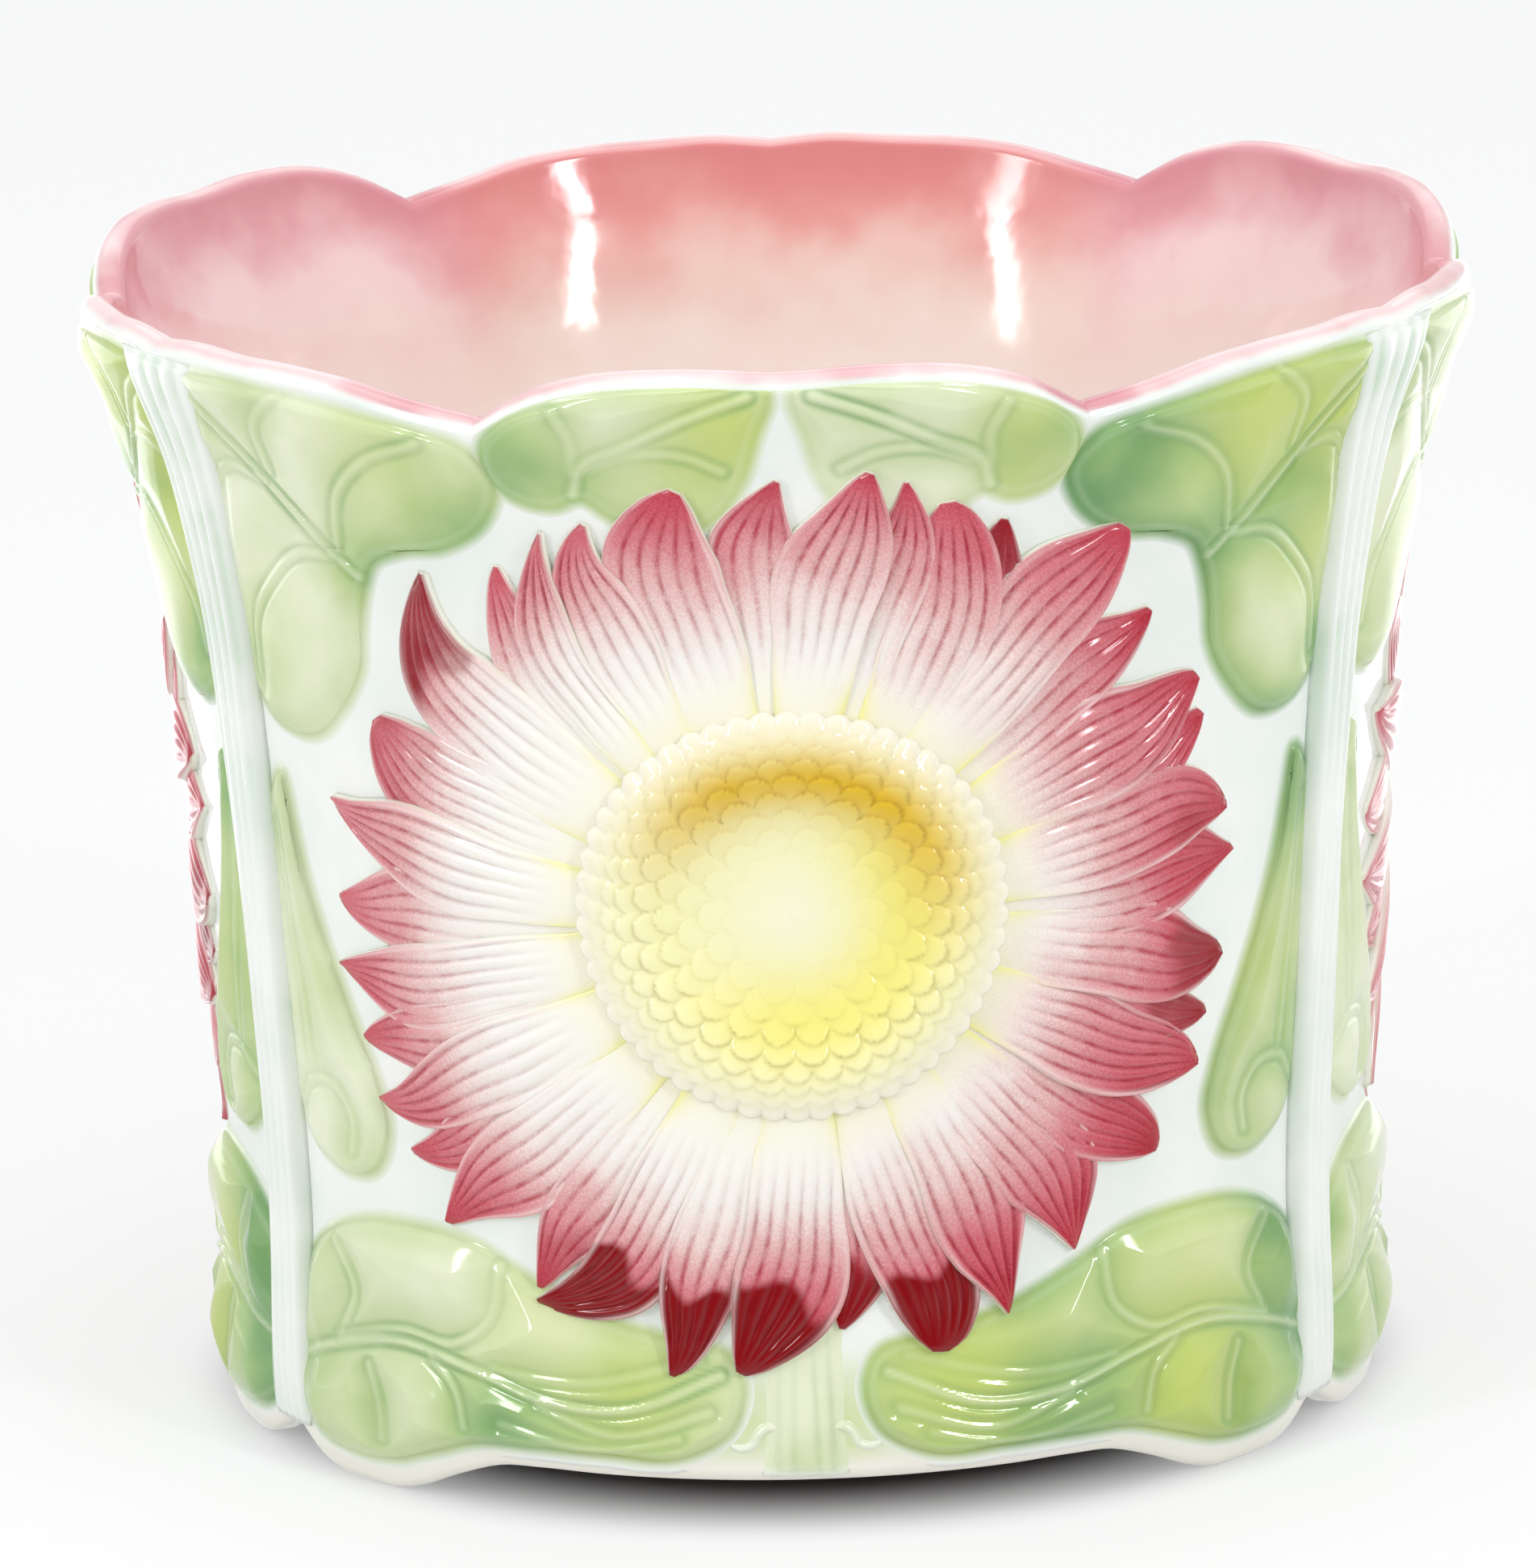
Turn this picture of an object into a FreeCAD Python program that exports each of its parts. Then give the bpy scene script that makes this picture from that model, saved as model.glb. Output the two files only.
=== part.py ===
import FreeCAD, Part
import math
import os

V = FreeCAD.Vector
AXIS = V(0, 0, 0)
UP = V(0, 0, 1)
FRONT = V(0, -1, 0)

# The pot is round in plan, waisted, and flared at the rim. Millimetres and degrees throughout.
face_names = ("front", "right", "left")
pillar_names = ("front_right", "back", "front_left")
pot_height = 198.0
rim_radius = 120.0
waist_radius = 98.0
waist_height = 42.0
foot_radius = 100.0
wall = 5.5
overrun = 5.0

# Flare of the wall from the waist, share 0, to the rim, share 1: (height share, radius share)
flare_shares = ((0, 0), (0.25, 0.09), (0.5, 0.22), (0.7, 0.39), (0.85, 0.63), (0.94, 0.88), (1, 1))

# Rim: on each face a centre lobe, and past a notch at each side half of the lobe over a pillar
notch_angle = 25.0
notch_depth = 9.4
centre_lobe_shares = ((0, 0.93), (0.32, 1), (0.58, 0.9), (0.8, 0.58), (1, 0))
corner_lobe_shares = ((0, 0), (0.18, 0.23), (0.35, 0.49), (0.5, 0.6), (0.7, 0.63), (0.84, 0.67), (1, 0.57))

# Foot: two flat pads on each face, with a lifted skirt between them and a gap under each pillar
skirt_lift = 8.0
skirt_edge_angle = 27.0
pad_inner_angle = 44.0
pad_outer_angle = 51.0
gap_lift = 6.0
pad_rise_shares = ((0, 1), (0.22, 0.95), (0.5, 0.62), (0.78, 0.2), (1, 0))
gap_rise_shares = ((0, 0), (0.4, 0.2), (0.8, 0.72), (1, 1))

# The relief lies on a thin bed of slip, and stops short of the wall's edges by its inset
slip_bed = 0.3
relief_inset = 1.0

# Floor slab, held inside the three wall panels. Its top edge is eased, so that the flat of the floor
# is narrower than the waist and a pot that goes in lies flat on it.
floor_lift = 9.0
floor_thickness = 7.0
floor_ease = 3.0

# Corner pillars, which cover the seams between the wall panels and splay at the top
pillar_half_width = 5.0
pillar_splay = 2.5
pillar_proud = 3.0
pillar_splay_shares = ((0, 0), (0.6, 0), (0.82, 0.25), (1, 1))

# Daisy in the middle of each face: two rings of petals round a hollow disc. The petals leave room
# for the crown leaves up to the rim, and for the pods out to the pillars.
flower_height_share = 0.53
crown_room = 14.0
pod_room = 27.0
upper_petal_proud = 3.5
under_petal_proud = 2.0
petal_step = 0.8
step_turn_share = -0.25
step_reach_shares = (0.3, 0.8, 1.2)
petal_lean_shares = (0.15, 0.5, 1.3)
petal_outline_shares = (
    (-0.8, 0.3, 0.15), (-1, 0.8, 0.5), (-0.55, 0.92, 0.8), (0, 1, 1.3), (0.55, 0.92, 0.8), (1, 0.8, 0.5),
    (0.8, 0.3, 0.15),
)

# The petals, clockwise from the top, no two alike: the turn of the root, the lean of the tip and the half
# width, all in degrees, and the share of the full reach
upper_petal_turns = (
    (5.5, 3, 7.4, 0.96), (28, -7, 8.3, 0.92), (40, -1, 8.6, 1.02), (64, 1, 9.2, 0.97), (81, 1, 8.3, 0.985),
    (102, -1.5, 7.8, 1), (117, -1, 8.3, 1.01), (137, 3, 9.7, 0.985), (148, 4.5, 8.3, 1), (161, 2, 9.2, 1),
    (180, 5, 9.4, 1), (193, 3, 7.7, 1.035), (203, 8, 8.3, 1.035), (226, 1.5, 8.3, 1.07), (240, 4, 7.9, 1.07),
    (256, 2, 7.7, 1.07), (274, 5, 7.8, 1.05), (300, 11, 9.8, 1.01), (318, 9, 4.7, 0.935),
    (327, 8, 7.7, 0.915), (342, 6, 9.4, 0.935),
)
under_petal_turns = (
    (15, -1, 5.6, 0.945), (33, -4, 6, 0.92), (52, -1, 6, 0.945), (73, -2, 5.6, 0.96), (91, -2, 8, 1.01),
    (109, -1, 5.6, 1), (127, 0, 7.4, 1.01), (171, 2, 6.2, 0.905), (214, 1, 6.2, 1.01), (234, 3, 6.2, 1.06),
    (248, 1.5, 5.6, 1.06), (265, 3, 8, 1.05), (287, 4, 8.7, 0.96), (312, 8, 4.8, 0.92), (356, 2, 6.7, 0.935),
)
petal_bed_share = 0.7
disc_radius = 34.0
disc_proud = 6.0
dish_radius = 26.0
dish_depth = 4.5
disc_outline_points = 12

# Leaves and pods on the right half of a face: (share of the half face angle, share of the pot height)
leaf_proud = 2.0
corner_leaf_shares = (
    (0.93, 0.955), (0.76, 0.965), (0.58, 0.96), (0.43, 0.935), (0.4, 0.89), (0.45, 0.85), (0.55, 0.825),
    (0.62, 0.815), (0.66, 0.77), (0.68, 0.71), (0.75, 0.655), (0.85, 0.645), (0.92, 0.69), (0.93, 0.78),
    (0.93, 0.87),
)
crown_leaf_shares = (
    (0.02, 0.955), (0.22, 0.965), (0.36, 0.94), (0.39, 0.915), (0.38, 0.89), (0.33, 0.87), (0.2, 0.87),
    (0.1, 0.89), (0.04, 0.93),
)
pod_proud = 3.0
pod_shares = (
    (0.87, 0.62), (0.85, 0.53), (0.81, 0.45), (0.75, 0.37), (0.73, 0.31), (0.79, 0.27), (0.89, 0.29),
    (0.93, 0.36), (0.93, 0.48), (0.93, 0.57),
)
foot_leaf_proud = 4.0
foot_leaf_shares = (
    (0.92, 0.15), (0.88, 0.2), (0.78, 0.23), (0.62, 0.24), (0.48, 0.23), (0.3, 0.19), (0.13, 0.15),
    (0.11, 0.11), (0.17, 0.065), (0.35, 0.045), (0.5, 0.03), (0.6, 0.01), (0.72, 0), (0.86, 0), (0.92, 0.06),
)

# Flower stem, from the skirt up to the petals
stem_half_width = 4.0
stem_proud = 1.5

face_angle = 360.0 / len(face_names)
half_face = face_angle / 2
notch_height = pot_height - notch_depth
flower_height = flower_height_share * pot_height
tool_inner_radius = min(foot_radius, waist_radius, rim_radius) - wall - overrun
tool_outer_radius = max(foot_radius, waist_radius, rim_radius) + foot_leaf_proud + overrun


def around(radius, angle, height):
    """A point at this angle from the middle of the front face, seen from above."""
    turn = math.radians(angle)
    return V(radius * math.sin(turn), -radius * math.cos(turn), height)


def curve(points, closed=False):
    """A smooth curve through the points."""
    spline = Part.BSplineCurve()
    spline.interpolate(points, PeriodicFlag=closed)
    return spline


def profile(proud):
    """The wall's outside in the front plane, moved out by this much."""
    points = [around(foot_radius + proud, 0, 0)]
    for height_share, radius_share in flare_shares:
        radius = waist_radius + radius_share * (rim_radius - waist_radius)
        height = waist_height + height_share * (pot_height - waist_height)
        points.append(around(radius + proud, 0, height))
    return curve(points)


wall_outside = profile(0)


def radius_at(height):
    """The radius of the wall's outside at this height, or at its edge where the wall has ended."""
    wall_level = min(max(height, wall_outside.StartPoint.z), wall_outside.EndPoint.z)
    level = Part.LineSegment(V(0, 0, wall_level), around(tool_outer_radius, 0, wall_level))
    return -wall_outside.intersectCC(level)[0].Y


petal_rise = pot_height - flower_height - crown_room
petal_spread = radius_at(flower_height) * math.radians(half_face) - pod_room


def band(inside, outside):
    """The flat section between two offsets from the wall's outside, in the front plane."""
    near = profile(inside)
    far = profile(outside)
    bottom = Part.makeLine(near.StartPoint, far.StartPoint)
    top = Part.makeLine(near.EndPoint, far.EndPoint)
    return Part.Face(Part.Wire(Part.__sortEdges__([near.toShape(), far.toShape(), bottom, top])))


def spun(section, spread):
    """A section of the front plane, turned about the pot's axis evenly to both sides."""
    section.rotate(AXIS, UP, -spread / 2)
    return section.revolve(AXIS, UP, spread)


def edge_tool(edge, depth):
    """What lies past a wavy edge of the wall: edge holds (angle, height), depth is up or down."""
    inner = curve([around(tool_inner_radius, angle, height) for angle, height in edge])
    outer = curve([around(tool_outer_radius, angle, height) for angle, height in edge])
    return Part.makeRuledSurface(inner.toShape(), outer.toShape()).extrude(UP * depth)


def both_sides(edge):
    """An edge drawn on the right half of a face, and its mirror image."""
    return [edge, [(-angle, height) for angle, height in edge]]


def rim_tools(inset):
    """What lies above the lobes of the front face, this far inside the rim's edge."""
    base = notch_height - inset
    span = half_face - notch_angle
    lobe = [(notch_angle * a, base + notch_depth * h) for a, h in centre_lobe_shares]
    corner_lobe = [(notch_angle + span * a, base + notch_depth * h) for a, h in corner_lobe_shares]
    centre_lobe = both_sides(lobe)[1][:0:-1] + lobe
    edges = [centre_lobe] + both_sides(corner_lobe)
    return [edge_tool(edge, notch_depth + overrun) for edge in edges]


def foot_tools(inset):
    """What lies below the skirt and pads of the front face, this far inside the foot's edge."""
    rise_span = pad_inner_angle - skirt_edge_angle
    gap_span = half_face - pad_outer_angle
    skirt = [(skirt_edge_angle * a, inset + skirt_lift) for a in (-1, -0.5, 0, 0.5, 1)]
    rise = [(skirt_edge_angle + rise_span * a, inset + skirt_lift * h) for a, h in pad_rise_shares]
    pad = [(pad_inner_angle, inset), (pad_outer_angle, inset)]
    gap = [(pad_outer_angle + gap_span * a, inset + gap_lift * h) for a, h in gap_rise_shares]
    edges = [skirt] + both_sides(rise) + both_sides(pad) + both_sides(gap)
    return [edge_tool(edge, -skirt_lift - overrun) for edge in edges]


def on_wall(angle, height):
    """A place on the wall of the front face, as it shows from straight ahead."""
    return V(radius_at(height) * math.sin(math.radians(angle)), 0, height)


def from_flower(turn, spread, rise):
    """A place on an oval round the flower's middle, at this turn clockwise from the top."""
    along = spread * math.sin(math.radians(turn))
    height = flower_height + rise * math.cos(math.radians(turn))
    return on_wall(math.degrees(along / radius_at(flower_height)), height)


def flower_oval(reach_share):
    """A smooth oval round the flower's middle, at this share of the petals' reach."""
    turns = [360.0 * step / disc_outline_points for step in range(disc_outline_points)]
    points = [from_flower(turn, petal_spread * reach_share, petal_rise * reach_share) for turn in turns]
    return Part.Face(Part.Wire(curve(points, True).toShape()))


def petal_outline(root_turn, lean, half_width, reach_share):
    """The outline of one petal, whose tip leans to one side."""
    points = []
    for width_share, length_share, lean_share in petal_outline_shares:
        share = reach_share * length_share
        turn = root_turn + lean * lean_share + half_width * width_share
        points.append(from_flower(turn, petal_spread * share, petal_rise * share))
    return Part.Face(Part.makePolygon(points + points[:1]))


def petal_ring(petal_turns):
    """The outline of a layer of overlapping petals, filled to the middle of the flower."""
    petals = [petal_outline(*petal) for petal in petal_turns]
    return flower_oval(petal_bed_share).multiFuse(petals).removeSplitter().Faces[0]


def petal_steps():
    """What lies over the lower edge of each upper petal, where its neighbour laps it."""
    over = spun(band(upper_petal_proud - petal_step, upper_petal_proud + overrun), face_angle)
    steps = []
    for root_turn, lean, half_width, reach_share in upper_petal_turns:
        edges = []
        for width_share in (-1, step_turn_share):
            for length_share, lean_share in zip(step_reach_shares, petal_lean_shares):
                share = reach_share * length_share
                turn = root_turn + lean * lean_share + half_width * width_share
                edges.append(from_flower(turn, petal_spread * share, petal_rise * share))
        outline = Part.Face(Part.makePolygon(edges[:3] + edges[:2:-1] + edges[:1]))
        steps.append(outline.extrude(FRONT * tool_outer_radius).common(over))
    return steps


def disc_outline():
    turns = [360.0 * step / disc_outline_points for step in range(disc_outline_points)]
    points = [from_flower(turn, disc_radius, disc_radius) for turn in turns]
    return Part.Face(Part.Wire(curve(points, True).toShape()))


def leaf_outline(shares, side):
    """A leaf or pod on the right, side 1, or the left, side -1, of a face."""
    points = [on_wall(side * half_face * a, pot_height * h) for a, h in shares]
    return Part.Face(Part.Wire(curve(points, True).toShape()))


def strip_outline(half_widths):
    """An upright strip on the middle line: half_widths holds (half width, height)."""
    right = [V(half, 0, height) for half, height in half_widths]
    left = [V(-half, 0, height) for half, height in reversed(half_widths)]
    return Part.Face(Part.makePolygon(right + left + right[:1]))


def raised(outline, proud):
    """The piece inside an outline, bedded on the wall, with its face this far proud."""
    return outline.extrude(FRONT * tool_outer_radius).common(spun(band(slip_bed, proud), face_angle))


def hollowed(disc):
    """A flower disc with a round dish in its face."""
    ball_radius = (dish_radius ** 2 + dish_depth ** 2) / (2 * dish_depth)
    ball_reach = radius_at(flower_height) + disc_proud - dish_depth + ball_radius
    return disc.cut(Part.makeSphere(ball_radius, around(ball_reach, 0, flower_height)))


def floor_slab():
    """The round floor, cut to the inside of the wall, with its top edge eased."""
    inside = profile(-wall)
    top = inside.EndPoint
    bottom = inside.StartPoint
    middle = Part.makePolygon([top, V(0, 0, top.z), V(0, 0, bottom.z), bottom])
    room = spun(Part.Face(Part.Wire([inside.toShape()] + middle.Edges)), 360)
    slab = room.common(Part.makeCylinder(tool_outer_radius, floor_thickness, V(0, 0, floor_lift)))
    top_edges = [edge for edge in slab.Edges if edge.BoundBox.ZMin > floor_lift + floor_thickness / 2]
    return slab.makeFillet(floor_ease, top_edges)


def pillar():
    """A pillar on the middle line of the front, before it is turned to its seam."""
    run = notch_height - gap_lift
    widths = [(pillar_half_width + pillar_splay * w, gap_lift + run * h) for h, w in pillar_splay_shares]
    return raised(strip_outline(widths), pillar_proud)


def face_pieces():
    """Every piece of the front face by name: the wall panel and the relief that sits on it."""
    above = rim_tools(relief_inset)
    below = foot_tools(relief_inset)
    disc = disc_outline()
    upper = petal_ring(upper_petal_turns)
    under = petal_ring(under_petal_turns)
    flower = upper.fuse(under)
    stem = strip_outline(((stem_half_width, 0), (stem_half_width, flower_height)))
    under_petals = raised(under.cut(disc), under_petal_proud).cut(above)
    upper_petals = raised(upper.cut(disc), upper_petal_proud).cut(above + petal_steps())
    pieces = {
        "wall_panel": spun(band(-wall, 0), face_angle).cut(rim_tools(0) + foot_tools(0)),
        "flower_disc": hollowed(raised(disc, disc_proud)),
        "under_petals": under_petals,
        "upper_petals": upper_petals.cut(under_petals),
        "stem": raised(stem.cut(flower), stem_proud).cut(below),
    }
    for side_name, side in (("right", 1), ("left", -1)):
        corner_leaf = leaf_outline(corner_leaf_shares, side).cut(flower)
        crown_leaf = leaf_outline(crown_leaf_shares, side).cut(flower)
        pod = leaf_outline(pod_shares, side).cut(flower)
        foot_leaf = leaf_outline(foot_leaf_shares, side).cut(flower)
        pieces["corner_leaf_" + side_name] = raised(corner_leaf, leaf_proud).cut(above)
        pieces["crown_leaf_" + side_name] = raised(crown_leaf, leaf_proud).cut(above)
        pieces["pod_" + side_name] = raised(pod, pod_proud)
        pieces["foot_leaf_" + side_name] = raised(foot_leaf, foot_leaf_proud).cut(below)
    return pieces


def write(piece, name, turn):
    """Turns a piece about the pot's axis and writes it as its own file."""
    placed = piece.copy()
    placed.rotate(AXIS, UP, turn)
    placed.exportStep("parts/" + name + ".step")
    print(name, len(placed.Solids), placed.isValid(), round(placed.Volume), placed.BoundBox)


os.makedirs("parts", exist_ok=True)
write(floor_slab(), "floor_slab", 0)
front_pieces = face_pieces()
corner_pillar = pillar()
for number, face_name in enumerate(face_names):
    for piece_name, piece in front_pieces.items():
        write(piece, face_name + "_" + piece_name, face_angle * number)
    write(corner_pillar, "pillar_" + pillar_names[number], face_angle * number + half_face)
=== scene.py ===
import math

import bpy
import numpy as np
from mathutils import Matrix, Vector


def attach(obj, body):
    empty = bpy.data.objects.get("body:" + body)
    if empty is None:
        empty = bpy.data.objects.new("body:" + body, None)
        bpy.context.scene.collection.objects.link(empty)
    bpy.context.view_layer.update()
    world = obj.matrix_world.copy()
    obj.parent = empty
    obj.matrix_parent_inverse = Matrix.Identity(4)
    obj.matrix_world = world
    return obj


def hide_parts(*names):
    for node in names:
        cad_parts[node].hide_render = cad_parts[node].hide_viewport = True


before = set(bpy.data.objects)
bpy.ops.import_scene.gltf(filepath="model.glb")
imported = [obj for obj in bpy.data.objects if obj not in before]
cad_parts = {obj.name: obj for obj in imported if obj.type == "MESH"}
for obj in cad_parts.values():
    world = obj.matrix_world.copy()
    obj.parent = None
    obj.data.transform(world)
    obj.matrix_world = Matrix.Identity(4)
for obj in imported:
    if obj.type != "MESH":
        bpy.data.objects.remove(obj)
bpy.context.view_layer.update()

# The body is one slip-cast earthenware ring: waisted, flared, with a lobed rim and six small feet.
# It is dipped in a bluish white glaze outside and sprayed pink inside, from the rim down.
mm = 0.001
seam_gap = 0.002 * mm
wall_thickness = 5.5
lip_round = 2.75
foot_round = 2.2
foot_flatness = 1.3
wall_knots = (
    (0, 100), (42, 98), (81, 99.98), (120, 102.84), (151.2, 106.58), (174.6, 111.86), (188.6, 117.36),
    (198, 120),
)
centre_lobe_knots = ((-8, 198), (0, 197.4), (8, 198), (14.5, 197.1), (20, 194.1), (25, 188.6))
corner_lobe_knots = (
    (25, 188.6), (31.3, 190.8), (37.2, 193.2), (42.5, 194.2), (49.5, 194.5), (54.4, 194.9), (60, 194),
)
foot_knots = (
    (0, 8), (20, 8), (27, 8), (30.7, 7.6), (35.5, 5), (40.3, 1.6), (44, 0), (47.5, 0), (51, 0),
    (54.6, 1.2), (58.2, 4.3), (60, 6),
)
face_angle = 120
corner_angle = 60
notch_angle = 25
notch_width = 5
notch_columns = (-0.7, -0.35, 0.35, 0.7)
outside_rows = 96
lip_rows = 13
inside_rows = 64
foot_rows = 11
bare_outside = (5.5, 2.5)
bare_inside = (5, 1.5)
pale_lobe = (34, 22)
skirt_angle = 10
skirt_heights = (34, 20)


def through(knots, place):
    """A smooth line through the knots, read at a place along it."""
    at, value = np.array(knots, float).T
    slope = np.gradient(value, at)
    span = np.clip(np.searchsorted(at, place) - 1, 0, len(at) - 2)
    length = at[span + 1] - at[span]
    t = np.clip((place - at[span]) / length, 0, 1)
    start = (1 + 2 * t) * (1 - t) ** 2 * value[span] + t * (1 - t) ** 2 * length * slope[span]
    return start + t * t * (3 - 2 * t) * value[span + 1] + t * t * (t - 1) * length * slope[span + 1]


def ease(low, high, value):
    """0 below low, 1 above high, and smooth between them; the other way round if low is the higher."""
    t = np.clip((value - low) / (high - low), 0, 1)
    return t * t * (3 - 2 * t)


def wall_radius(height):
    """The outside of the wall, from the pot's axis."""
    return through(wall_knots, height)


def rim_height(angle):
    """The height of the rim at an angle from the middle of the nearest face."""
    return np.where(angle < notch_angle, through(centre_lobe_knots, angle), through(corner_lobe_knots, angle))


def foot_height(angle):
    """The height of the foot's lower edge at an angle from the middle of the nearest face."""
    return np.maximum(through(foot_knots, angle), 0)


def round_place(radius, turn, height):
    """A place round the pot's axis, by a turn in radians from the middle of the front."""
    return np.stack([radius * np.sin(turn), -radius * np.cos(turn), height + 0 * radius * turn], -1)


def weld(piece):
    """Closes the seams of a piece, turns its faces outwards and shades it smooth."""
    bpy.ops.object.select_all(action="DESELECT")
    piece.select_set(True)
    bpy.context.view_layer.objects.active = piece
    bpy.ops.object.mode_set(mode="EDIT")
    bpy.ops.mesh.select_all(action="SELECT")
    bpy.ops.mesh.remove_doubles(threshold=seam_gap)
    bpy.ops.mesh.normals_make_consistent(inside=False)
    bpy.ops.object.mode_set(mode="OBJECT")
    bpy.ops.object.shade_smooth()


def sheet(name, places, masks):
    """A grid of clay moved to its places, rows by columns in millimetres, with its glaze masks."""
    rows, columns = places.shape[:2]
    bpy.ops.object.select_all(action="DESELECT")
    bpy.ops.mesh.primitive_grid_add(x_subdivisions=columns - 1, y_subdivisions=rows - 1, size=2)
    piece = bpy.context.object
    piece.name = name
    piece.data.name = name
    flat = np.empty(rows * columns * 3)
    piece.data.vertices.foreach_get("co", flat)
    grid = (flat.reshape(-1, 3) + 1) / 2
    column = np.rint(grid[:, 0] * (columns - 1)).astype(int)
    row = np.rint(grid[:, 1] * (rows - 1)).astype(int)
    piece.data.vertices.foreach_set("co", (places[row, column] * mm).ravel())
    for mask_name, values in masks.items():
        layer = piece.data.attributes.new(mask_name, "FLOAT", "POINT")
        whole = np.broadcast_to(values, (rows, columns))
        layer.data.foreach_set("value", whole[row, column].astype(np.float32))
    weld(piece)
    return piece


def tint(red, green, blue):
    """A colour as it looks on screen, 0 to 255, for a shader."""
    shares = [channel / 255 for channel in (red, green, blue)]
    return [share / 12.92 if share < 0.04045 else ((share + 0.055) / 1.055) ** 2.4 for share in shares] + [1]


def node(tree, kind, feeds=(), **settings):
    """A node with its settings made and its sockets fed, by a value or from another socket."""
    made = tree.nodes.new(kind)
    for name, value in settings.items():
        setattr(made, name, value)
    for socket, value in dict(feeds).items():
        if isinstance(value, bpy.types.NodeSocket):
            tree.links.new(value, made.inputs[socket])
        else:
            made.inputs[socket].default_value = value
    return made


def mask(tree, name):
    """A glaze mask that a piece carries."""
    return node(tree, "ShaderNodeAttribute", attribute_name=name).outputs["Fac"]


def wash(tree, share, under, over):
    """One colour brushed over another, by a share."""
    return node(tree, "ShaderNodeMix", {0: share, 6: under, 7: over}, data_type="RGBA").outputs[2]


def sums(tree, operation, first, second):
    return node(tree, "ShaderNodeMath", {0: first, 1: second}, operation=operation).outputs[0]


def plus(tree, first, second):
    return sums(tree, "ADD", first, second)


def times(tree, first, second):
    return sums(tree, "MULTIPLY", first, second)


def stretch(tree, value, low, high, start, end):
    """A value between low and high, taken smoothly to one between start and end."""
    feeds = {"Value": value, "From Min": low, "From Max": high, "To Min": start, "To Max": end}
    return node(tree, "ShaderNodeMapRange", feeds, interpolation_type="SMOOTHSTEP").outputs["Result"]


def patchy(tree, skin, thin, thick):
    """How strongly a glaze covers, in clouds from thin to thick."""
    return stretch(tree, skin["Cloud"], 0, 1, thin, thick)


def swing(tree, pattern, size):
    """A pattern of the skin as a push up or down, by half its size each way."""
    return times(tree, sums(tree, "SUBTRACT", pattern, 0.5), size)


def ramp(tree, share, stops):
    """A run of colours: stops holds (share, colour)."""
    made = node(tree, "ShaderNodeValToRGB", {"Fac": share})
    band = made.color_ramp
    while len(band.elements) < len(stops):
        band.elements.new(1)
    for element, (place, colour) in zip(band.elements, stops):
        element.position = place
        element.color = colour
    return made.outputs["Color"]


# The glaze is fired in a kiln, so it is glassy, a little wavy, and uneven in thickness. Every piece
# wears this one skin, under colours of its own.
noise_range = (0.3, 0.7)
glaze_roughness = (0.07, 0.15)
ripple_share = 0.4
skin_strength = 0.25
skin_depth = 0.6 * mm
coat_weight = 0.1
coat_roughness = 0.03
glaze_skin = bpy.data.node_groups.new("glaze_skin", "ShaderNodeTree")
for output in ("Cloud", "Brush", "Speckle", "Roughness", "Height"):
    glaze_skin.interface.new_socket(output, in_out="OUTPUT", socket_type="NodeSocketFloat")
object_place = node(glaze_skin, "ShaderNodeTexCoord").outputs["Object"]


def mottle(scale, detail):
    """An uneven pattern in the skin, finer the greater its scale."""
    feeds = {"Vector": object_place, "Scale": scale, "Detail": detail}
    return node(glaze_skin, "ShaderNodeTexNoise", feeds).outputs["Fac"]


cloud = mottle(45, 3)
speckle = mottle(2600, 2)
brush = mottle(330, 4)
ripple = mottle(160, 2)
node(glaze_skin, "NodeGroupOutput", {
    "Cloud": stretch(glaze_skin, cloud, *noise_range, 0, 1),
    "Brush": stretch(glaze_skin, brush, *noise_range, 0, 1),
    "Speckle": stretch(glaze_skin, speckle, *noise_range, 0, 1),
    "Roughness": stretch(glaze_skin, cloud, *noise_range, *glaze_roughness),
    "Height": plus(glaze_skin, cloud, times(glaze_skin, ripple, ripple_share)),
})


def glaze(name, paint):
    """A glazed finish: paint gets the tree and the skin, and gives the colour of the glaze."""
    material = bpy.data.materials.new(name)
    material.use_nodes = True
    tree = material.node_tree
    shader = tree.nodes["Principled BSDF"]
    skin = node(tree, "ShaderNodeGroup", node_tree=glaze_skin)
    waves = {"Height": skin.outputs["Height"], "Strength": skin_strength, "Distance": skin_depth}
    bump = node(tree, "ShaderNodeBump", waves)
    tree.links.new(paint(tree, skin.outputs), shader.inputs["Base Color"])
    tree.links.new(skin.outputs["Roughness"], shader.inputs["Roughness"])
    tree.links.new(bump.outputs["Normal"], shader.inputs["Normal"])
    shader.inputs["Coat Weight"].default_value = coat_weight
    shader.inputs["Coat Roughness"].default_value = coat_roughness
    return material


def dress(piece, material, slot, *nodes):
    """Gives a piece its glaze, hangs it under the root, and hides the CAD solids it stands for."""
    piece.data.materials.clear()
    piece.data.materials.append(material)
    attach(piece, "root")
    if nodes:
        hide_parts(*nodes)


half_face = np.concatenate([np.arange(0, corner_angle + 0.5, 1), notch_angle + np.array(notch_columns)])
half_face = np.unique(half_face)
whole_face = np.concatenate([-half_face[:0:-1], half_face[:-1]])
ring = np.concatenate([face_angle * k + whole_face for k in range(3)])
ring = np.append(ring, ring[0] + 360)
turn = np.radians(ring)
from_middle = np.abs((ring + corner_angle) % face_angle - corner_angle)
rim = rim_height(from_middle)
foot = foot_height(from_middle)


def bare_clay(fade, height):
    """How bare the clay is: not at all from the fade's first height over the foot, all from its second."""
    return ease(foot + fade[0], foot + fade[1], height)


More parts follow.
